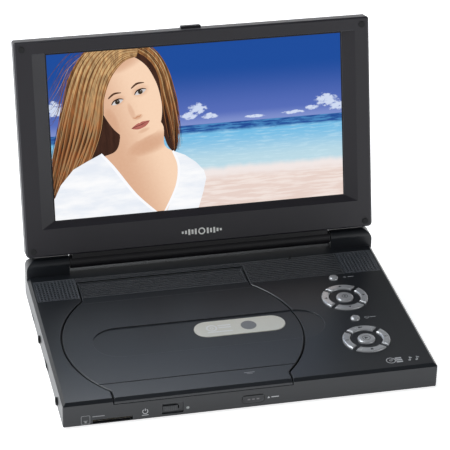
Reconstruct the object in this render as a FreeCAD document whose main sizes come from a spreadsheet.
import FreeCAD, Part
import Sketcher
import math
import os

# Portable disc player with a fold-up screen, in millimetres.
#
# The base is modelled in deck coordinates: x to the right, y = 0 at the front face and growing
# to the rear, z = 0 at the lower edge of the skirt.  The lid is modelled upright in lid
# coordinates: the hinge axis is the x axis, y points out of its back and z up along the lid.
# Each finished piece gets a Placement that takes it from those coordinates to the object's own
# frame, whose origin is under the middle of the footprint, at the soles of the feet.

DIMENSIONS = [
    # alias, value, meaning
    ("base_width", 266.0, "overall width of the base"),
    ("base_depth", 180.0, "front face to rear face"),
    ("deck_top", 19.0, "height of the deck above the skirt's lower edge"),
    ("wall", 2.0, "wall of the mouldings"),
    ("edge_bevel", 2.15, "bevel round the top of the base"),
    ("foot_height", 1.2, "the feet below the skirt"),
    ("footprint_middle", 110.3, "front face to the middle of the footprint, lid open"),
    ("lid_lean", 14.4, "degrees that the open lid leans back from upright"),
    ("hinge_y", 173.4, "hinge axis behind the front face"),
    ("hinge_z", 27.3, "hinge axis above the skirt's lower edge"),
    ("barrel_radius", 5.2, "hinge barrel and the tops of the hinge humps"),
    ("hump_start", 100.6, "inner end of a hinge hump from the middle"),
    ("shaft_radius", 2.35, "hinge shaft"),
    ("lid_width", 265.8, "overall width of the lid"),
    ("lid_height", 162.0, "height of the lid along itself"),
    ("lid_rise", 7.0, "hinge axis to the lid's lower edge"),
    ("lid_front", 7.1, "hinge axis to the lid's front plane"),
    ("bezel_depth", 6.0, "front plane to the seam round the lid"),
    ("lid_thickness", 14.0, "front plane to the lid's back"),
    ("screen_left", -110.0, "left edge of the picture"),
    ("screen_right", 112.0, "right edge of the picture"),
    ("screen_low", 26.2, "lower edge of the picture above the lid's lower edge"),
    ("screen_high", 151.8, "upper edge of the picture above the lid's lower edge"),
    ("screen_recess", 3.0, "picture behind the front plane"),
    ("door_centre_x", -35.0, "middle of the disc door and spindle"),
    ("door_centre_y", 70.0, "middle of the disc door and spindle"),
    ("door_radius", 86.0, "round part of the disc door"),
    ("door_left", -97.3, "left side of the door's straight part"),
    ("door_right", 27.6, "right side of the door's straight part"),
    ("door_gap", 1.0, "gap round the door"),
    ("door_corner", 5.0, "radius where the straight sides run into the round part"),
    ("door_thickness", 2.2, "door panel"),
    ("door_axis_y", 153.8, "door hinge axis"),
    ("door_pin_radius", 0.75, "door hinge pins"),
    ("well_radius", 61.5, "recess that a 120 mm disc lies in"),
    ("cluster_x", 92.2, "middle of the two key rings"),
    ("rear_cluster_y", 97.5, "middle of the rear key ring"),
    ("front_cluster_y", 40.0, "middle of the front key ring"),
    ("ring_outer", 17.2, "outer radius of the ring keys"),
    ("ring_inner", 11.6, "inner radius of the ring keys"),
    ("key_gap", 0.35, "gap round a key"),
    ("key_top", 20.3, "top of the keys"),
    ("key_foot", 15.5, "underside of the keys"),
    ("rod_radius", 1.5, "guide rods of the pickup"),
    ("sled_x", -59.0, "pickup at its innermost track"),
    ("screw_y", 96.0, "lead screw axis"),
    ("screw_z", 5.6, "lead screw axis"),
    ("jack_z", 5.4, "axis of the audio jacks"),
    ("jack_bore", 1.8, "bore of a 3.5 mm jack"),
    ("wheel_radius", 9.0, "volume wheel"),
    ("rib_pitch", 2.6, "pitch of the deck ribs and of the speaker lattice"),
]

doc = FreeCAD.newDocument("disc_player")
sheet = doc.addObject("Spreadsheet::Sheet", "Sizes")


class Size:
    """A number together with the spreadsheet expression that gives it."""

    def __init__(self, value, text):
        self.value = float(value)
        self.text = text

    @staticmethod
    def of(other):
        if isinstance(other, Size):
            return other
        return Size(other, "(%r)" % float(other))

    def __add__(self, other):
        other = Size.of(other)
        return Size(self.value + other.value, "(%s + %s)" % (self.text, other.text))

    def __sub__(self, other):
        other = Size.of(other)
        return Size(self.value - other.value, "(%s - %s)" % (self.text, other.text))

    def __mul__(self, other):
        other = Size.of(other)
        return Size(self.value * other.value, "(%s * %s)" % (self.text, other.text))

    def __truediv__(self, other):
        other = Size.of(other)
        return Size(self.value / other.value, "(%s / %s)" % (self.text, other.text))

    def __neg__(self):
        return self * -1

    def __radd__(self, other):
        return Size.of(other) + self

    def __rsub__(self, other):
        return Size.of(other) - self

    def __rmul__(self, other):
        return Size.of(other) * self


class Dims:
    """The driving dimensions by name, each a Size tied to its spreadsheet cell."""


dims = Dims()
for row, (alias, value, meaning) in enumerate(DIMENSIONS, start=1):
    sheet.set("A%d" % row, meaning)
    sheet.set("B%d" % row, str(value))
    sheet.setAlias("B%d" % row, alias)
    setattr(dims, alias, Size(value, "Sizes." + alias))
doc.recompute()

X_AXIS = FreeCAD.Vector(1, 0, 0)
Y_AXIS = FreeCAD.Vector(0, 1, 0)
Z_AXIS = FreeCAD.Vector(0, 0, 1)
NO_TURN = FreeCAD.Rotation(Z_AXIS, 0)
TURNS = {
    "x": FreeCAD.Rotation(Y_AXIS, 90),
    "y": FreeCAD.Rotation(X_AXIS, -90),
    "z": NO_TURN,
}


def bind(thing, name, size):
    """Ties a property to the spreadsheet cells behind a size, or to a plain number."""
    thing.setExpression(name, Size.of(size).text)


def place(thing, x, y, z, turn=NO_TURN):
    thing.Placement = FreeCAD.Placement(FreeCAD.Vector(0, 0, 0), turn)
    bind(thing, "Placement.Base.x", x)
    bind(thing, "Placement.Base.y", y)
    bind(thing, "Placement.Base.z", z)
    return thing


# ---- primitives and booleans ------------------------------------------------------------


def box(xs, ys, zs):
    thing = doc.addObject("Part::Box", "block")
    bind(thing, "Length", xs[1] - xs[0])
    bind(thing, "Width", ys[1] - ys[0])
    bind(thing, "Height", zs[1] - zs[0])
    return place(thing, xs[0], ys[0], zs[0])


def rod(along, start, radius, length):
    """A cylinder that runs from its start point in the positive direction of an axis."""
    thing = doc.addObject("Part::Cylinder", "rod")
    bind(thing, "Radius", radius)
    bind(thing, "Height", length)
    return place(thing, start[0], start[1], start[2], TURNS[along])


def fuse(*things):
    thing = doc.addObject("Part::MultiFuse", "fusion")
    thing.Shapes = list(things)
    return thing


def group(*things):
    """Solids that stay apart but belong to one node, or tools that don't touch."""
    thing = doc.addObject("Part::Compound", "set")
    thing.Links = list(things)
    return thing


def cut(base, *tools):
    thing = doc.addObject("Part::Cut", "cut")
    thing.Base = base
    thing.Tool = tools[0] if len(tools) == 1 else fuse(*tools)
    return thing


def common(first, second):
    thing = doc.addObject("Part::Common", "common")
    thing.Base = first
    thing.Tool = second
    return thing


def edges_where(shape, wanted):
    """Numbers of the edges whose middle point and direction pass a test."""
    found = []
    for number, edge in enumerate(shape.Edges, start=1):
        middle = edge.valueAt((edge.FirstParameter + edge.LastParameter) / 2)
        run = edge.lastVertex().Point - edge.firstVertex().Point
        if wanted(middle, run):
            found.append(number)
    if not found:
        raise ValueError("no edge passes the test")
    return found


def eased(base, radius, wanted, kind="Part::Fillet"):
    """Rounds (or bevels) the edges of a piece that pass a test."""
    doc.recompute()
    thing = doc.addObject(kind, "eased")
    thing.Base = base
    numbers = edges_where(base.Shape, wanted)
    thing.Edges = [(number, float(radius), float(radius)) for number in numbers]
    return thing


def upright(middle, run):
    return abs(run.z) > 0.5 and abs(run.x) < 1e-6 and abs(run.y) < 1e-6


# ---- sketched bodies --------------------------------------------------------------------


def plane_of(body, role):
    return [f for f in body.Origin.OriginFeatures if f.Role == role][0]


def outline_sketch(body, role, points, offset=0.0):
    """A closed outline of straight runs, each corner tied to the spreadsheet."""
    sketch = body.newObject("Sketcher::SketchObject", "outline")
    sketch.AttachmentSupport = [(plane_of(body, role), "")]
    sketch.MapMode = "FlatFace"
    bind(sketch, "AttachmentOffset.Base.z", offset)
    corners = [(Size.of(u), Size.of(v)) for u, v in points]
    count = len(corners)
    for index, (u, v) in enumerate(corners):
        u_next, v_next = corners[(index + 1) % count]
        start = FreeCAD.Vector(u.value, v.value, 0)
        end = FreeCAD.Vector(u_next.value, v_next.value, 0)
        sketch.addGeometry(Part.LineSegment(start, end), False)
    for index, (u, v) in enumerate(corners):
        after = (index + 1) % count
        sketch.addConstraint(Sketcher.Constraint("Coincident", index, 2, after, 1))
        for kind, size in (("DistanceX", u), ("DistanceY", v)):
            number = sketch.addConstraint(
                Sketcher.Constraint(kind, -1, 1, index, 1, size.value)
            )
            if "Sizes" in size.text:
                sketch.setExpression("Constraints[%d]" % number, size.text)
    return sketch


def turned(points):
    """A body turned about the z axis from (radius, height) corners."""
    body = doc.addObject("PartDesign::Body", "turned")
    sketch = outline_sketch(body, "XZ_Plane", points)
    spin = body.newObject("PartDesign::Revolution", "revolve")
    spin.Profile = sketch
    spin.ReferenceAxis = (sketch, ["V_Axis"])
    spin.Angle = 360
    sketch.Visibility = False
    return body


def padded(role, points, start, length):
    """A body padded from an outline: XY_Plane pads along +z, YZ_Plane along +x."""
    body = doc.addObject("PartDesign::Body", "padded")
    sketch = outline_sketch(body, role, points, start)
    pad = body.newObject("PartDesign::Pad", "pad")
    pad.Profile = sketch
    bind(pad, "Length", length)
    return body


# ---- finished pieces --------------------------------------------------------------------

nodes = []


def finish(label, thing):
    thing.Label = label
    nodes.append(thing)
    return thing


def in_deck(label, *things):
    """A finished piece of the base, moved from deck coordinates to the object's frame."""
    thing = group(*things)
    place(thing, 0.0, -dims.footprint_middle, dims.foot_height)
    return finish(label, thing)


def in_lid(label, *things):
    """A finished piece of the lid, leaned back about the hinge axis."""
    thing = group(*things)
    lean = FreeCAD.Rotation(FreeCAD.Vector(-1, 0, 0), dims.lid_lean.value)
    hinge_y = dims.hinge_y - dims.footprint_middle
    hinge_z = dims.hinge_z + dims.foot_height
    place(thing, 0.0, hinge_y, hinge_z, lean)
    bind(thing, "Placement.Rotation.Angle", dims.lid_lean)
    return finish(label, thing)


# ---- base: deck moulding ----------------------------------------------------------------

half_width = dims.base_width / 2
deck_under = dims.deck_top - dims.wall
door_under = dims.deck_top - dims.door_thickness
well_rim = 16.4
floor_thickness = 1.2
floor_low = 0.3
floor_top = floor_low + floor_thickness
boss_spots = [(-122.0, 10.0), (122.0, 10.0), (-122.0, 165.0), (122.0, 165.0)]
key_board_x = (70.0, 114.0)
key_board_y = (16.0, 130.0)
key_board_top = 13.6
spine = (dims.door_centre_x, dims.door_centre_y)


def door_outline(grow, low, high):
    """The door's plan, a circle and a straight part run together, grown by a margin."""
    round_part = rod("z", (spine[0], spine[1], low), dims.door_radius + grow, high - low)
    straight_part = box(
        (dims.door_left - grow, dims.door_right + grow),
        (Size.of(-2.0), dims.door_axis_y + dims.door_thickness + grow),
        (low, high),
    )
    whole = fuse(round_part, straight_part)
    left = dims.door_left.value - float(Size.of(grow).value)
    right = dims.door_right.value + float(Size.of(grow).value)
    reach = dims.door_axis_y.value

    def inner_corner(middle, run):
        on_side = min(abs(middle.x - left), abs(middle.x - right)) < 0.01
        return upright(middle, run) and on_side and 0.5 < middle.y < reach - 5.0

    return eased(whole, dims.door_corner.value - Size.of(grow).value, inner_corner)


def capsule(xs, y, radius, low, high):
    """A flat pill whose ends are centred on the two given x values."""
    return fuse(
        box(xs, (y - radius, y + radius), (low, high)),
        rod("z", (xs[0], y, low), radius, high - low),
        rod("z", (xs[1], y, low), radius, high - low),
    )


def deck_recess():
    """Shallow pill across door and deck: a step at its rear that runs out to the front."""
    low, high = dims.deck_top - 2.0, dims.deck_top + 2.0
    pill = capsule((Size.of(-81.0), Size.of(50.0)), Size.of(70.0), Size.of(19.0), low, high)
    slope = doc.addObject("Part::Box", "slope")
    slope.Length = 200
    slope.Width = 60
    slope.Height = 5
    fall = FreeCAD.Rotation(X_AXIS, -1.25)
    place(slope, Size.of(-120.0), Size.of(48.0), dims.deck_top, fall)
    return common(pill, slope)


def rib_grooves(xs, first_y, count):
    """Grooves between the raised ribs."""
    groove_width = 1.4
    groove_depth = 0.55
    grooves = []
    for index in range(count):
        y = first_y + index * dims.rib_pitch
        grooves.append(
            box(xs, (y, y + groove_width), (dims.deck_top - groove_depth, dims.deck_top + 1))
        )
    return group(*grooves)


def ring_part(x, y, turn, grow, low, high):
    """A quarter of the key ring that points away from the middle at the given turn."""
    ring = cut(
        rod("z", (x, y, low), dims.ring_outer + grow, high - low),
        rod("z", (x, y, low), dims.ring_inner - grow, high - low),
    )
    web = 2.0 - grow
    wedge = doc.addObject("Part::Box", "wedge")
    wedge.Length = 30
    wedge.Width = 30
    bind(wedge, "Height", high - low)
    direction = FreeCAD.Rotation(Z_AXIS, turn).multVec(Y_AXIS)
    corner_x = x + web * round(direction.x)
    corner_y = y + web * round(direction.y)
    place(wedge, corner_x, corner_y, low, FreeCAD.Rotation(Z_AXIS, turn + 45))
    return common(ring, wedge)


RING_TURNS = {"up": 0, "left": 90, "down": 180, "right": -90}
clusters = {"rear": dims.rear_cluster_y, "front": dims.front_cluster_y}
centre_key_radius = 6.4
small_key_radius = 3.5
small_keys = {"rear_small_key": (91.5, 126.0), "front_small_key": (92.0, 68.5)}


def key_openings():
    low, high = dims.deck_top - 3.0, dims.deck_top + 1.0
    holes = []
    for y in clusters.values():
        for turn in RING_TURNS.values():
            holes.append(ring_part(dims.cluster_x, y, turn, dims.key_gap, low, high))
        holes.append(
            rod("z", (dims.cluster_x, y, low), centre_key_radius + dims.key_gap, high - low)
        )
    for x, y in small_keys.values():
        holes.append(
            rod("z", (Size.of(x), Size.of(y), low), small_key_radius + dims.key_gap, high - low)
        )
    return group(*holes)


def half_pill(xs, ys, zs, radius):
    """A block with a flat top and rounded lower corners, seen from the front."""
    block = box(xs, ys, zs)
    low = zs[0].value

    def lower_side(middle, run):
        return abs(run.y) > 0.1 and abs(run.x) < 1e-6 and abs(middle.z - low) < 1e-6

    return eased(block, radius, lower_side)


speaker_windows = {
    "left": ((Size.of(-129.8), Size.of(-98.9)), (Size.of(133.6), Size.of(161.4))),
    "right": ((Size.of(102.0), Size.of(129.4)), (Size.of(131.2), Size.of(161.4))),
}
open_button_x = (Size.of(-7.3), Size.of(7.4))
open_button_z = (Size.of(3.9), Size.of(9.6))
switch_recess_x = (Size.of(-64.4), Size.of(-49.1))
switch_recess_z = (Size.of(2.2), Size.of(10.9))
switch_slot_x = (Size.of(-62.0), Size.of(-52.2))
switch_slot_z = (Size.of(5.2), Size.of(7.9))
lamp_spot = (-46.2, 5.5)
card_x = (Size.of(-112.6), Size.of(-84.6))
jack_spots = {"rear_audio_jack": 105.0, "front_audio_jack": 25.0}
wheel_y = 72.85
plunger_spot = (66.6, 161.3)
plunger_radius = 1.0
hump_front = dims.hinge_y - dims.barrel_radius
hump_rear = dims.hinge_y + dims.barrel_radius
cap_low = deck_under - 0.2
door_ease = 0.5


def hinge_seat(side):
    """Room in the deck moulding that a hinge cap sits in."""
    xs = (dims.hump_start, half_width + 1) if side > 0 else (-half_width - 1, -dims.hump_start)
    return box(xs, (hump_front, hump_rear), (cap_low, dims.deck_top + 1))


def hinge_cap(side):
    """Cap beside the barrel that hides a hinge: round on top and at its outer end."""
    xs = (dims.hump_start, half_width) if side > 0 else (-half_width, -dims.hump_start)
    top = dims.hinge_z + dims.barrel_radius
    body = fuse(
        box(xs, (hump_front, hump_rear), (cap_low, dims.hinge_z)),
        rod("x", (xs[0], dims.hinge_y, dims.hinge_z), dims.barrel_radius, xs[1] - xs[0]),
    )
    limit = box(xs, (hump_front - 1, hump_rear + 1), (cap_low, top))
    inner, outer = dims.hump_start.value * side, half_width.value * side

    def outer_top(middle, run):
        on_end = abs(middle.x - outer) < 1e-6 and abs(middle.z - top.value) < 1e-6
        return on_end and abs(run.y) > 1

    def inner_end(middle, run):
        from_axis = math.hypot(middle.y - dims.hinge_y.value, middle.z - dims.hinge_z.value)
        on_end = abs(middle.x - inner) < 1e-6 and from_axis > dims.shaft_radius.value + 1
        return on_end and middle.z > cap_low.value + 0.1

    blank = cut(common(body, eased(limit, 8.0, outer_top)), cap_hollow(side))
    return eased(blank, 0.4, inner_end)


def cap_hollow(side):
    """Room inside a cap for the clutch of the hinge, and the bore for its shaft."""
    wall_end = dims.hump_start + 2.4
    room_end = Size.of(119.0)
    if side > 0:
        shaft_start, room = dims.hump_start - 1, (wall_end, room_end)
    else:
        shaft_start, room = -wall_end - 1, (-room_end, -wall_end)
    return fuse(
        rod("x", (shaft_start, dims.hinge_y, dims.hinge_z), dims.shaft_radius + 0.1, Size.of(5.4)),
        rod("x", (room[0], dims.hinge_y, dims.hinge_z), Size.of(4.2), room[1] - room[0]),
        box(room, (dims.hinge_y - 2.0, dims.hinge_y + 2.0), (deck_under - 1, dims.hinge_z)),
    )


def base_outer():
    """Skirt and deck as one block with bevelled top edges."""
    block = box((-half_width, half_width), (Size.of(0), dims.base_depth), (Size.of(0), dims.deck_top))
    top = dims.deck_top.value

    def on_top(middle, run):
        return abs(middle.z - top) < 1e-6

    def at_foot(middle, run):
        return abs(middle.z) < 1e-6

    bevelled = eased(block, dims.edge_bevel.value, on_top, "Part::Chamfer")
    rounded = eased(bevelled, 1.0, upright)
    return eased(rounded, 0.8, at_foot)


def along_door(middle, grow):
    """Whether a point of the deck lies on the outline of the door, grown by a margin."""
    from_spine = math.hypot(middle.x - spine[0].value, middle.y - spine[1].value)
    on_circle = abs(from_spine - dims.door_radius.value - grow) < 0.05
    left, right = dims.door_left.value - grow, dims.door_right.value + grow
    on_side = min(abs(middle.x - left), abs(middle.x - right)) < 0.05
    near_corner = min(abs(middle.x - left), abs(middle.x - right)) < dims.door_corner.value
    return on_circle or on_side or (near_corner and 60 < from_spine < 110)


def eased_doorway(block):
    """The block with the doorway cut through its deck and a bevel round the doorway's upper edge."""
    grow = dims.door_gap.value
    opened = cut(block, door_outline(dims.door_gap, Size.of(14.6), dims.deck_top + 1))
    top = dims.deck_top.value

    def doorway_edge(middle, run):
        return abs(middle.z - top) < 1e-6 and along_door(middle, grow)

    return eased(opened, door_ease, doorway_edge, "Part::Chamfer")


def base_top_shell():
    """Upper half of the base: deck, walls and every opening cut through them, and the hinge caps."""
    inside = box(
        (-half_width + dims.wall, half_width - dims.wall),
        (dims.wall, dims.base_depth - dims.wall),
        (Size.of(-1), deck_under),
    )
    bosses = []
    for x, y in boss_spots:
        bosses.append(
            cut(
                rod("z", (Size.of(x), Size.of(y), Size.of(floor_top)), 3.2, deck_under - floor_top),
                rod("z", (Size.of(x), Size.of(y), Size.of(floor_top)), 1.3, 8.0),
            )
        )
    for x in (key_board_x[0] + 2.5, key_board_x[1] - 2.5):
        for y in (key_board_y[0] + 3.0, key_board_y[1] - 3.0):
            bosses.append(
                rod("z", (Size.of(x), Size.of(y), Size.of(key_board_top)), 1.8,
                    deck_under - key_board_top)
            )
    shell = fuse(cut(eased_doorway(base_outer()), inside), *bosses)
    skirt = (Size.of(-1), dims.wall + 1)
    side_skirt = (-half_width - 1, -half_width + dims.wall + 1)
    x_pin, z_pin = lamp_spot
    openings = [
        deck_recess(),
        key_openings(),
        hinge_seat(-1),
        hinge_seat(1),
        half_pill(
            (open_button_x[0] - 0.3, open_button_x[1] + 0.3),
            skirt,
            (open_button_z[0] - 0.3, open_button_z[1] + 0.3),
            4.3,
        ),
        box(switch_recess_x, (Size.of(-1), Size.of(1.2)), switch_recess_z),
        box(switch_slot_x, skirt, switch_slot_z),
        rod("y", (Size.of(x_pin), Size.of(-1), Size.of(z_pin)), 1.1, 4.0),
        box(card_x, skirt, (Size.of(1.0), Size.of(4.0))),
        box(side_skirt, (Size.of(65.5), Size.of(80.2)), (Size.of(1.6), Size.of(5.4))),
        box(side_skirt, (Size.of(134.0), Size.of(143.0)), (Size.of(1.8), Size.of(4.4))),
        rod("x", (half_width - dims.wall - 1, Size.of(118.0), Size.of(6.6)), 3.6, 4.0),
        rod("z", (Size.of(plunger_spot[0]), Size.of(plunger_spot[1]), deck_under - 1), 1.15, 4.0),
    ]
    for y in jack_spots.values():
        openings.append(rod("x", (side_skirt[0], Size.of(y), dims.jack_z), 3.2, 4.0))
    for xs, ys in speaker_windows.values():
        openings.append(box(xs, ys, (deck_under - 1, dims.deck_top + 1)))
    pin_room = (dims.door_axis_y - 0.95, dims.door_axis_y + 0.95)
    for x in (-101.6, 28.2):
        openings.append(box((Size.of(x), Size.of(x + 3.8)), pin_room, (deck_under, deck_under + 0.7)))
    openings.append(rib_grooves((Size.of(29.4), Size.of(101.0)), Size.of(131.2), 12))
    openings.append(rib_grooves((Size.of(-97.6), Size.of(29.4)), 131.2 + 10 * dims.rib_pitch, 2))
    in_deck("base_top_shell", cut(shell, *openings))
    in_deck("hinge_caps", hinge_cap(-1), hinge_cap(1))


def base_bottom_cover():
    """Bottom plate with screw holes, vents and the posts that carry the main board."""
    margin = dims.wall + 0.3
    plate = padded(
        "XY_Plane",
        [
            (-half_width + margin, margin),
            (half_width - margin, margin),
            (half_width - margin, dims.base_depth - margin),
            (-half_width + margin, dims.base_depth - margin),
        ],
        Size.of(floor_low),
        Size.of(floor_thickness),
    )
    posts = []
    for x in (-88.0, 0.0, 88.0):
        for y in (137.0, 157.0):
            posts.append(rod("z", (Size.of(x), Size.of(y), Size.of(floor_top)), 2.5, 3.5))
    holes = []
    for x, y in boss_spots:
        holes.append(rod("z", (Size.of(x), Size.of(y), Size.of(0)), 1.4, 3.0))
        holes.append(rod("z", (Size.of(x), Size.of(y), Size.of(0)), 2.5, 1.0))
    for index in range(8):
        x = -100.0 + 9.0 * index
        holes.append(box((Size.of(x), Size.of(x + 2.2)), (Size.of(112.0), Size.of(128.0)),
                         (Size.of(0), Size.of(2))))
    in_deck("base_bottom_cover", fuse(cut(plate, group(*holes[0::2]), group(*holes[1::2])), *posts))


def base_fasteners():
    screws = []
    for x, y in boss_spots:
        screw = turned([(0, 0.3), (2.4, 0.3), (2.4, 1.0), (1.3, 1.0), (1.3, 8.0), (0.8, 9.4), (0, 9.4)])
        screws.append(place(screw, Size.of(x), Size.of(y), 0.0))
    in_deck("base_screws", *screws)
    feet = []
    for x in (-112.0, 112.0):
        for y in (18.0, 160.0):
            foot = turned([(0, 0), (5.4, 0), (6.0, 0.5), (6.0, 1.5), (0, 1.5)])
            feet.append(place(foot, Size.of(x), Size.of(y), -dims.foot_height))
    in_deck("rubber_feet", *feet)


def speaker_parts():
    """Lattices over the speakers, level with the deck, and the speakers below them."""
    lattices = []
    speakers = []
    bar = 0.9
    for side, (xs, ys) in speaker_windows.items():
        top = dims.deck_top - 0.1
        pieces = []
        frame = cut(
            box(xs, ys, (top - 1.0, top)),
            box((xs[0] + 0.8, xs[1] - 0.8), (ys[0] + 0.8, ys[1] - 0.8), (top - 2.0, top + 1.0)),
        )
        pieces.append(frame)
        pitch = dims.rib_pitch.value
        for index in range(1, int((xs[1].value - xs[0].value) / pitch) + 1):
            x = xs[0] + index * dims.rib_pitch - bar
            if x.value + bar < xs[1].value:
                pieces.append(box((x, x + bar), ys, (top - 0.9, top)))
        for index in range(1, int((ys[1].value - ys[0].value) / pitch) + 1):
            y = ys[0] + index * dims.rib_pitch - bar
            if y.value + bar < ys[1].value:
                pieces.append(box(xs, (y, y + bar), (top - 0.9, top)))
        lattices.append(fuse(*pieces))
        reach = 13.4
        body = turned(
            [(0, 8), (7, 8), (7, 12.5), (9.5, 13), (reach, 15.6), (reach, 17.9), (12.4, 17.9),
             (11.5, 16.4), (5, 14), (0, 14)]
        )
        middle = (xs[1] - reach - 0.3 if side == "right" else xs[0] + reach + 0.3, (ys[0] + ys[1]) / 2)
        speakers.append(place(body, middle[0], middle[1], 0.0))
    in_deck("speaker_grilles", *lattices)
    in_deck("speakers", *speakers)


# ---- base: disc drive -------------------------------------------------------------------

rod_z = 7.5
rod_spots = (50.0, 90.0)
chassis_top = 4.8
chassis_low = 3.6
grommet_spots = [(-108.5, 59.0), (-108.5, 81.0), (-17.5, 45.5), (-17.5, 98.5)]


def disc_well():
    """Dish that the disc lies in, its flange under the deck and the door's hinge cradles."""
    low, floor = 9.8, 11.2
    dish = fuse(
        rod("z", (spine[0], spine[1], Size.of(low)), dims.well_radius + 2.0, Size.of(well_rim - low)),
        common(
            cut(
                door_outline(Size.of(2.5), Size.of(14.9), deck_under),
                door_outline(Size.of(0.4), Size.of(well_rim), deck_under + 1),
            ),
            box((-half_width, half_width), (Size.of(6.6), Size.of(150.6)), (Size.of(0), Size.of(30))),
        ),
    )
    hollow = rod("z", (spine[0], spine[1], Size.of(floor)), dims.well_radius, Size.of(10))
    hub_hole = rod("z", (spine[0], spine[1], Size.of(0)), 15.0, 20.0)
    lens_slot = box(
        (spine[0] - dims.well_radius - 1.7, spine[0]),
        (spine[1] - 11.0, spine[1] + 11.0),
        (Size.of(0), Size.of(11.8)),
    )
    cradles = []
    for xs in ((-101.5, -98.2), (28.5, 31.8)):
        cradles.append(
            box((Size.of(xs[0]), Size.of(xs[1])), (Size.of(146.0), Size.of(156.3)),
                (Size.of(13.4), Size.of(16.9)))
        )
    pin_bore = rod(
        "x", (Size.of(-110), dims.door_axis_y, door_under), dims.door_pin_radius + 0.05, Size.of(160)
    )
    in_deck("disc_well", fuse(cut(dish, hollow, hub_hole, lens_slot), cut(group(*cradles), pin_bore)))


def drive_chassis():
    """Plate that carries the motors, rods and screw, on four rubber grommets."""
    plate = padded(
        "XY_Plane", [(-112, 42), (-14, 42), (-14, 102), (-112, 102)],
        Size.of(chassis_low), Size.of(chassis_top - chassis_low),
    )
    supports = []
    for y in rod_spots:
        for x in (-107.5, -26.0):
            supports.append(
                box((Size.of(x), Size.of(x + 4)), (Size.of(y - 3), Size.of(y + 3)),
                    (Size.of(chassis_top), Size.of(9.4)))
            )
    supports.append(
        box((Size.of(-109.5), Size.of(-106.5)), (dims.screw_y - 2.6, dims.screw_y + 2.6),
            (Size.of(chassis_top), Size.of(8.6)))
    )
    openings = [box((Size.of(-105), Size.of(-48.5)), (Size.of(53), Size.of(87)),
                    (Size.of(3), Size.of(5)))]
    for y in rod_spots:
        openings.append(rod("x", (Size.of(-106.5), Size.of(y), Size.of(rod_z)), dims.rod_radius, 84.0))
    openings.append(rod("x", (Size.of(-110), dims.screw_y, dims.screw_z), 1.05, 5.0))
    openings.append(
        box((Size.of(-106.5), Size.of(-30)), (dims.screw_y - 3.71, dims.screw_y + 3.71),
            (Size.of(3), Size.of(5)))
    )
    for x, y in grommet_spots:
        openings.append(rod("z", (Size.of(x), Size.of(y), Size.of(3)), 1.6, 3.0))
    in_deck("drive_chassis", cut(fuse(plate, *supports), *openings))
    grommets = []
    for x, y in grommet_spots:
        grommet = turned([(0, 1.5), (3.2, 1.5), (3.2, 3.6), (1.6, 3.6), (1.6, 4.8), (2.6, 4.8),
                          (2.6, 6.0), (0, 6.0)])
        grommets.append(place(grommet, Size.of(x), Size.of(y), 0.0))
    in_deck("chassis_grommets", *grommets)
    rods = []
    for y in rod_spots:
        rods.append(rod("x", (Size.of(-106.5), Size.of(y), Size.of(rod_z)), dims.rod_radius, 84.0))
    in_deck("guide_rods", *rods)


def spindle():
    motor = turned([(0.8, 4.8), (11, 4.8), (11, 8.2), (9.5, 8.8), (3, 8.8), (3, 9.2), (0.8, 9.2)])
    in_deck("spindle_motor", place(motor, spine[0], spine[1], 0.0))
    table = turned(
        [(0, 5.2), (0.75, 5.2), (0.75, 9.6), (12.5, 9.6), (13, 10.1), (13, 12.0), (7.35, 12.0),
         (7.35, 13.6), (6.4, 15.2), (2.2, 15.6), (0, 15.2)]
    )
    in_deck("disc_turntable", place(table, spine[0], spine[1], 0.0))


def pickup():
    """Sled on its two rods, its sprung lens, and the screw and motor that drive it."""
    x = dims.sled_x
    block = box((x - 9, x + 9), (Size.of(47), Size.of(93)), (Size.of(5.3), Size.of(9.4)))
    nut = box((x - 3, x + 3), (Size.of(93), dims.screw_y - 1.5), (Size.of(5.3), Size.of(8.0)))
    openings = [box((x - 5.2, x + 5.2), (spine[1] - 5.7, spine[1] + 5.7), (Size.of(7.2), Size.of(10)))]
    for y in rod_spots:
        openings.append(rod("x", (x - 10, Size.of(y), Size.of(rod_z)), dims.rod_radius + 0.06, 20.0))
    in_deck("pickup_sled", cut(fuse(block, nut), *openings))
    holder = box((x - 4.6, x + 4.6), (spine[1] - 5.0, spine[1] + 5.0), (Size.of(7.8), Size.of(10.6)))
    seat = rod("z", (x, spine[1], Size.of(7)), 2.2, 5.0)
    in_deck("lens_holder", cut(holder, seat))
    lens = turned([(0, 9.3), (2.2, 9.3), (2.2, 10.6), (1.4, 11.0), (0, 11.2)])
    in_deck("objective_lens", place(lens, x, spine[1], 0.0))
    in_deck(
        "lead_screw",
        fuse(
            rod("x", (Size.of(-109.3), dims.screw_y, dims.screw_z), 1.0, 66.0),
            rod("x", (Size.of(-105.8), dims.screw_y, dims.screw_z), 1.3, 56.6),
        ),
    )
    can = rod("x", (Size.of(-48.8), dims.screw_y, dims.screw_z), 3.8, 16.0)
    bore = rod("x", (Size.of(-49), dims.screw_y, dims.screw_z), 1.05, 8.0)
    in_deck("feed_motor", cut(can, bore))


# ---- base: boards, battery and sockets --------------------------------------------------


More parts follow.
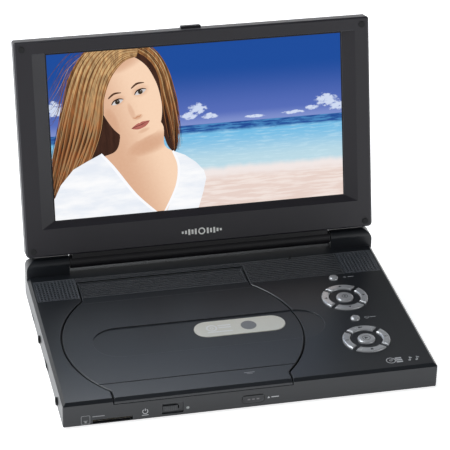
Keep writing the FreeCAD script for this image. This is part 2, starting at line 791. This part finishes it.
def electronics():
    board_low = 5.0
    board_top = 6.6
    board = box((Size.of(-95), Size.of(95)), (Size.of(134), Size.of(160)),
                (Size.of(board_low), Size.of(board_top)))
    chips = []
    for x, width, depth, height in (
        (-70, 22, 14, 2.0), (-38, 16, 16, 1.4), (-10, 10, 18, 3.2), (16, 20, 12, 2.2), (60, 26, 16, 2.6),
    ):
        chips.append(
            box((Size.of(x - width / 2), Size.of(x + width / 2)),
                (Size.of(147 - depth / 2), Size.of(147 + depth / 2)),
                (Size.of(board_top), Size.of(board_top + height)))
        )
    x, y = plunger_spot
    lid_switch = box((Size.of(x - 3.5), Size.of(x + 3.5)), (Size.of(y - 4.3), Size.of(y + 4)),
                     (Size.of(board_top), Size.of(11.0)))
    in_deck("main_board", fuse(board, lid_switch, *chips))
    pack = box((Size.of(46), Size.of(116)), (Size.of(28), Size.of(122)), (Size.of(1.5), Size.of(11.4)))

    def long_edge(middle, run):
        return abs(run.y) > 50

    in_deck("battery_pack", eased(pack, 4.0, long_edge))
    in_deck(
        "key_board",
        box((Size.of(key_board_x[0]), Size.of(key_board_x[1])),
            (Size.of(key_board_y[0]), Size.of(key_board_y[1])),
            (Size.of(12.2), Size.of(key_board_top))),
    )
    in_deck(
        "key_mat",
        box((Size.of(75.0), Size.of(109.2)), (Size.of(21.5), Size.of(129.6)),
            (Size.of(key_board_top), Size.of(14.7))),
    )


def sockets():
    """Card socket, audio jacks, data socket, power inlet, lamp and switch bodies."""
    in_deck(
        "card_socket",
        cut(
            box((Size.of(-113.4), Size.of(-83.8)), (Size.of(2.0), Size.of(32.0)),
                (Size.of(1.5), Size.of(4.9))),
            box((Size.of(-112.4), Size.of(-84.8)), (Size.of(1.0), Size.of(31.0)),
                (Size.of(1.8), Size.of(4.4))),
        ),
    )
    jacks = []
    for y in jack_spots.values():
        body = fuse(
            rod("x", (-half_width - 1.2, Size.of(y), dims.jack_z), 2.9, 4.0),
            box((-half_width + dims.wall, Size.of(-118.0)), (Size.of(y - 3.8), Size.of(y + 3.8)),
                (Size.of(1.6), Size.of(9.2))),
        )
        bore = rod("x", (-half_width - 2, Size.of(y), dims.jack_z), dims.jack_bore, 14.8)
        jacks.append(cut(body, bore))
    in_deck("audio_jacks", *jacks)
    in_deck(
        "data_socket",
        cut(
            box((-half_width + 0.4, Size.of(-123.0)), (Size.of(134.0), Size.of(143.0)),
                (Size.of(1.8), Size.of(4.4))),
            box((-half_width - 1, Size.of(-126.0)), (Size.of(134.5), Size.of(142.5)),
                (Size.of(2.2), Size.of(4.0))),
        ),
    )
    inlet = cut(
        fuse(
            rod("x", (half_width - dims.wall, Size.of(118.0), Size.of(6.6)), 3.5, dims.wall),
            box((Size.of(119.0), half_width - dims.wall), (Size.of(113.5), Size.of(122.5)),
                (Size.of(1.6), Size.of(11.6))),
        ),
        rod("x", (half_width - 9.0, Size.of(118.0), Size.of(6.6)), 2.9, 10.0),
    )
    centre_pin = rod("x", (half_width - 9.0, Size.of(118.0), Size.of(6.6)), 0.9, 8.0)
    in_deck("power_inlet", fuse(inlet, centre_pin))
    x_pin, z_pin = lamp_spot
    in_deck(
        "power_lamp",
        fuse(
            rod("y", (Size.of(x_pin), Size.of(0.1), Size.of(z_pin)), 1.1, 1.9),
            box((Size.of(x_pin - 2), Size.of(x_pin + 2)), (Size.of(2), Size.of(5)),
                (Size.of(z_pin - 2), Size.of(z_pin + 2))),
        ),
    )


# ---- controls ---------------------------------------------------------------------------


def round_top(thing, top, radius):
    """Eases the edges round the upper face of a key."""

    def on_top(middle, run):
        return abs(middle.z - top) < 1e-6

    return eased(thing, radius, on_top)


def keys():
    low, high = dims.key_foot, dims.key_top
    for name, y in clusters.items():
        for way, turn in RING_TURNS.items():
            key = ring_part(dims.cluster_x, y, turn, 0.0, low, high)
            in_deck("%s_key_%s" % (name, way), round_top(key, high.value, 1.0))
        middle = rod("z", (dims.cluster_x, y, low), centre_key_radius, high + 0.3 - low)
        in_deck("%s_key_centre" % name, round_top(middle, high.value + 0.3, 1.3))
    for label, (x, y) in small_keys.items():
        button = rod("z", (Size.of(x), Size.of(y), low), small_key_radius, high + 0.3 - low)
        in_deck(label, round_top(button, high.value + 0.3, 1.6))


def open_catch():
    """OPEN button in the front face, the catch it pushes back, and the leaf that returns it."""
    cap = half_pill(open_button_x, (Size.of(-0.3), Size.of(9.0)), open_button_z, 4.0)
    in_deck("open_button", cap)
    in_deck(
        "door_catch",
        fuse(
            box((Size.of(-4), Size.of(4)), (Size.of(6.4), Size.of(9.0)), (open_button_z[1], Size.of(13.2))),
            box((Size.of(-4), Size.of(4)), (Size.of(5.4), Size.of(6.4)), (Size.of(12.0), Size.of(13.2))),
        ),
    )
    in_deck(
        "catch_spring",
        fuse(
            box((Size.of(-8), Size.of(8)), (Size.of(11.4), Size.of(11.8)), (Size.of(1.9), Size.of(8.8))),
            box((Size.of(-8), Size.of(8)), (Size.of(11.4), Size.of(16.0)), (Size.of(1.5), Size.of(1.9))),
        ),
    )


def slide_switch():
    in_deck(
        "power_switch",
        cut(
            box((Size.of(-64), Size.of(-49.4)), (dims.wall, Size.of(9)), (Size.of(3.6), Size.of(9.5))),
            box(switch_slot_x, (Size.of(1), Size.of(5.6)), switch_slot_z),
        ),
    )
    knob_x = (Size.of(-63.6), Size.of(-53.2))
    face = box(knob_x, (Size.of(0.15), Size.of(1.1)), (Size.of(4.4), Size.of(8.7)))
    ridges = []
    for index in range(6):
        x = knob_x[0] + 1.3 + 1.45 * index
        ridges.append(box((x, x + 0.6), (Size.of(-0.15), Size.of(0.2)), (Size.of(5.0), Size.of(8.1))))
    stem = box((Size.of(-61.2), Size.of(-56.4)), (Size.of(1.1), Size.of(5.2)),
               (switch_slot_z[0] + 0.2, switch_slot_z[1] - 0.2))
    in_deck("power_knob", fuse(face, stem, *ridges))


def volume_wheel():
    x, y = -half_width + 0.8 + dims.wheel_radius - 1.6, Size.of(wheel_y)
    low, height = 2.2, 2.4
    disc = turned(
        [(1.5, 0), (dims.wheel_radius - 0.5, 0), (dims.wheel_radius, 0.5),
         (dims.wheel_radius, height - 0.5), (dims.wheel_radius - 0.5, height), (1.5, height)]
    )
    place(disc, x, y, Size.of(low))
    flutes = []
    for index in range(24):
        turn = FreeCAD.Rotation(Z_AXIS, 15.0 * index)
        spot = turn.multVec(X_AXIS)
        reach = dims.wheel_radius + 0.25
        flutes.append(rod("z", (x + reach * spot.x, y + reach * spot.y, Size.of(low - 1)), 0.6, 5.0))
    in_deck("volume_wheel", cut(disc, group(*flutes)))
    in_deck(
        "volume_control",
        fuse(
            rod("z", (x, y, Size.of(floor_top)), 1.45, 5.0),
            box((x - 5, x + 5), (y - 5, y + 5), (Size.of(6.0), Size.of(8.6))),
        ),
    )


def lid_switch():
    x, y = plunger_spot
    plunger = turned([(0, 12.2), (0.8, 12.2), (0.8, 14.4), (1.6, 14.4), (1.6, 15.4),
                      (plunger_radius, 15.4), (plunger_radius, 19.6), (0.8, 19.8), (0, 19.8)])
    in_deck("lid_switch_plunger", place(plunger, Size.of(x), Size.of(y), 0.0))


# ---- disc door --------------------------------------------------------------------------


def disc_door():
    """Door panel with its front lip, round rear edge, hook, ribs and shallow recess."""
    blank = common(
        door_outline(Size.of(0), door_under, dims.deck_top),
        box((-half_width, half_width), (Size.of(0), dims.door_axis_y), (Size.of(0), Size.of(30))),
    )
    top = dims.deck_top.value

    def rim(middle, run):
        return abs(middle.z - top) < 1e-6 and along_door(middle, 0.0)

    panel = eased(blank, door_ease, rim, "Part::Chamfer")
    straight = (dims.door_left, dims.door_right)
    lip = box(straight, (Size.of(0), Size.of(1.8)), (Size.of(15.2), door_under))
    rear_edge = rod(
        "x", (dims.door_left, dims.door_axis_y, door_under), dims.door_thickness,
        dims.door_right - dims.door_left,
    )
    hook = fuse(
        box((Size.of(-3), Size.of(3)), (Size.of(3.2), Size.of(4.4)), (Size.of(10.4), door_under)),
        box((Size.of(-3), Size.of(3)), (Size.of(4.4), Size.of(5.2)), (Size.of(10.4), Size.of(11.6))),
    )
    bevel = doc.addObject("Part::Box", "bevel")
    bevel.Length = 200
    bevel.Width = 10
    bevel.Height = 5
    place(bevel, Size.of(-130.0), Size.of(-2.0), dims.deck_top - dims.edge_bevel - 2.0,
          FreeCAD.Rotation(X_AXIS, 45))
    wide = (dims.door_left - 30.0, dims.door_right + 30.0)
    above = dims.deck_top + 1
    grooves = [
        box(wide, (Size.of(125.2), Size.of(134.0)), (dims.deck_top - 0.5, above)),
        box(wide, (Size.of(19.2), Size.of(20.0)), (dims.deck_top - 0.6, above)),
    ]
    ribs = rib_grooves((dims.door_left + 1.4, dims.door_right - 1.4), Size.of(135.2), 7)
    pins = [
        rod("x", (Size.of(start), dims.door_axis_y, door_under), dims.door_pin_radius, 12.0)
        for start in (-101.2, 19.6)
    ]
    in_deck("door_hinge_pins", *pins)
    plate_seat = capsule(
        (Size.of(-16.0), Size.of(31.0)), Size.of(74.5), Size.of(10.1), dims.deck_top - 1.2, above
    )
    whole = fuse(panel, lip, rear_edge, hook)
    in_deck("disc_door", cut(whole, bevel, ribs, *grooves, deck_recess(), group(*pins), plate_seat))
    badge = capsule(
        (Size.of(-16.0), Size.of(31.0)), Size.of(74.5), Size.of(10.0),
        dims.deck_top - 1.2, dims.deck_top + 0.1,
    )
    in_deck("door_badge", round_top(badge, dims.deck_top.value + 0.1, 0.3))


# ---- lid --------------------------------------------------------------------------------

lid_half = dims.lid_width / 2
front_plane = -dims.lid_front
seam_plane = front_plane + dims.bezel_depth
back_plane = front_plane + dims.lid_thickness
lid_low = dims.lid_rise
lid_high = dims.lid_rise + dims.lid_height
bumper_spots = [(-127.5, 156.4), (127.5, 156.4), (-127.5, 4.6), (127.5, 4.6)]


def lid_corners(thing):
    """Rounds the lid's corners: small ones at the top, larger ones at the bottom."""
    top, low = lid_high.value, lid_low.value

    def along_y(run):
        return abs(run.y) > 1 and abs(run.x) < 1e-6 and abs(run.z) < 1e-6

    rounded = eased(thing, 1.8, lambda middle, run: along_y(run) and abs(middle.z - top) < 1e-6)
    return eased(rounded, 3.0, lambda middle, run: along_y(run) and abs(middle.z - low) < 1e-6)


def lid_bezel():
    """Front moulding of the lid with the sloped surround of the picture."""
    outer = lid_corners(
        box((-lid_half, lid_half), (front_plane, seam_plane), (lid_low, lid_high))
    )
    plane = front_plane.value
    bevelled = eased(outer, 1.2, lambda middle, run: abs(middle.y - plane) < 1e-6, "Part::Chamfer")
    inside = box(
        (-lid_half + dims.wall, lid_half - dims.wall),
        (front_plane + dims.wall, seam_plane + 1),
        (lid_low + dims.wall, lid_high - dims.wall),
    )
    surround = box(
        (Size.of(-122.8), Size.of(124.8)),
        (front_plane + 0.5, front_plane + dims.screen_recess),
        (lid_low + 17.5, lid_low + 155.8),
    )
    window = doc.addObject("Part::Wedge", "window")
    bind(window, "Xmin", dims.screen_left - 10.0)
    bind(window, "Xmax", dims.screen_right + 10.0)
    bind(window, "X2min", dims.screen_left)
    bind(window, "X2max", dims.screen_right)
    bind(window, "Ymin", front_plane)
    bind(window, "Ymax", front_plane + dims.screen_recess)
    bind(window, "Zmin", lid_low + dims.screen_low - 5.2)
    bind(window, "Zmax", lid_low + dims.screen_high + 0.7)
    bind(window, "Z2min", lid_low + dims.screen_low)
    bind(window, "Z2max", lid_low + dims.screen_high)
    holes = []
    for x, s in bumper_spots:
        holes.append(rod("y", (Size.of(x), front_plane - 1, lid_low + s), 1.2, 8.0))
    in_lid("lid_bezel", cut(fuse(cut(bevelled, inside), surround), window, *holes))


def hinge_arm(side):
    """Steel arm of one hinge: shaft, elbow inside the barrel and strap up into the lid."""
    if side > 0:
        shaft_start, arm = Size.of(84.0), (Size.of(84.0), Size.of(96.0))
    else:
        shaft_start, arm = Size.of(-117.5), (Size.of(-96.0), Size.of(-84.0))
    strap = (Size.of(2.6), Size.of(4.0))
    return fuse(
        rod("x", (shaft_start, Size.of(0), Size.of(0)), dims.shaft_radius, 33.5),
        box(arm, (Size.of(-1.8), strap[1]), (Size.of(-1.8), Size.of(3.0))),
        box(arm, strap, (Size.of(0), Size.of(40.0))),
    )


def lid_hinge():
    arms = [hinge_arm(-1), hinge_arm(1)]
    in_lid("hinge_arms", *arms)
    end = dims.hump_start - 0.4
    plain = rod("x", (-end, Size.of(0), Size.of(0)), dims.barrel_radius, 2 * end)
    tube = eased(plain, 0.5, lambda middle, run: abs(middle.x) > end.value - 0.1, "Part::Chamfer")
    neck = box((-end + 2.0, end - 2.0), (Size.of(-4.0), Size.of(4.6)), (Size.of(0), lid_low))
    bore = rod("x", (Size.of(-80.0), Size.of(0), Size.of(0)), 3.4, 160.0)
    in_lid("hinge_barrel", cut(fuse(tube, neck), bore, hinge_arm(-1), hinge_arm(1)))
    brackets = []
    for side in (-1, 1):
        xs = (104.0, 118.0) if side > 0 else (-118.0, -104.0)
        span = (Size.of(xs[0]), Size.of(xs[1]))
        foot = (Size.of(100.0), Size.of(118.0)) if side > 0 else (Size.of(-118.0), Size.of(-100.0))
        brackets.append(
            cut(
                fuse(
                    rod("x", (span[0], dims.hinge_y, dims.hinge_z), 4.0, 14.0),
                    box(span, (dims.hinge_y - 1.5, dims.hinge_y + 1.5), (Size.of(1.5), dims.hinge_z)),
                    box(foot, (Size.of(168.6), Size.of(177.0)), (Size.of(1.5), Size.of(2.7))),
                ),
                rod("x", (span[0] - 1, dims.hinge_y, dims.hinge_z), dims.shaft_radius + 0.06, 16.0),
            )
        )
    in_deck("hinge_brackets", *brackets)


def lid_back():
    """Rear moulding of the lid with rounded edges, a finger tab and four screw posts."""
    block = lid_corners(box((-lid_half, lid_half), (seam_plane, back_plane), (lid_low, lid_high)))
    plane = back_plane.value
    outer = eased(block, 2.9, lambda middle, run: abs(middle.y - plane) < 1e-6)
    inside = box(
        (-lid_half + dims.wall, lid_half - dims.wall),
        (seam_plane - 1, back_plane - 1.8),
        (lid_low + dims.wall, lid_high - dims.wall),
    )
    tab = box((Size.of(-8.4), Size.of(6.6)), (seam_plane, Size.of(4.0)), (lid_high - 3.0, lid_high + 2.0))

    def tab_edge(middle, run):
        return middle.z > lid_high.value + 0.5

    posts = []
    bores = []
    for x, s in bumper_spots:
        posts.append(rod("y", (Size.of(x), front_plane + dims.wall, lid_low + s), 2.5, 10.3))
        bores.append(rod("y", (Size.of(x), front_plane, lid_low + s), 1.1, 9.0))
    shell = cut(outer, inside)
    in_lid(
        "lid_back_cover",
        cut(fuse(shell, eased(tab, 0.8, tab_edge), *posts), group(*bores), hinge_arm(-1), hinge_arm(1)),
    )


def lid_contents():
    picture_plane = front_plane + dims.screen_recess
    glass = (picture_plane, picture_plane + 1.4)
    in_lid(
        "lcd_panel",
        box((dims.screen_left - 4, dims.screen_right + 4), glass,
            (lid_low + dims.screen_low - 3.7, lid_low + dims.screen_high + 3.2)),
    )
    in_lid(
        "backlight_unit",
        box((Size.of(-116.5), Size.of(118.5)), (glass[1], glass[1] + 5.1), (lid_low + 12.0, lid_low + 157.0)),
    )
    in_lid(
        "inverter_board",
        box((Size.of(-60), Size.of(60)), (Size.of(-5.1), Size.of(-3.7)), (lid_low + 2.2, lid_low + 11.4)),
        box((Size.of(-50), Size.of(-20)), (Size.of(-3.7), Size.of(1.0)), (lid_low + 3.0, lid_low + 10.6)),
    )
    bumpers = []
    screws = []
    for x, s in bumper_spots:
        bumper = rod("y", (Size.of(x), front_plane - 0.8, lid_low + s), 2.4, 0.8)
        edge = front_plane.value - 0.8
        bumpers.append(eased(bumper, 0.4, lambda middle, run: abs(middle.y - edge) < 1e-6))
        screws.append(rod("y", (Size.of(x), front_plane, lid_low + s), 1.1, 8.6))
    in_lid("lid_bumpers", *bumpers)
    in_lid("lid_screws", *screws)


# ---- build, check and write -------------------------------------------------------------

base_top_shell()
base_bottom_cover()
base_fasteners()
speaker_parts()
disc_well()
drive_chassis()
spindle()
pickup()
electronics()
sockets()
keys()
open_catch()
slide_switch()
volume_wheel()
lid_switch()
disc_door()
lid_bezel()
lid_hinge()
lid_back()
lid_contents()

doc.recompute()

failed = [thing for thing in doc.Objects if "Invalid" in thing.State or "Error" in thing.State]
if failed:
    names = ["%s (%s)" % (thing.Label, thing.getStatusString()) for thing in failed]
    raise RuntimeError("failed to compute: " + ", ".join(names))
for node in nodes:
    if node.Shape.isNull() or not node.Shape.isValid():
        raise RuntimeError("%s has no valid shape" % node.Label)
    if not node.Shape.Solids or any(solid.Volume <= 0 for solid in node.Shape.Solids):
        raise RuntimeError("%s is not solid" % node.Label)

os.makedirs("parts", exist_ok=True)
for node in nodes:
    node.Shape.exportStep("parts/%s.step" % node.Label)
print("%d nodes written" % len(nodes))
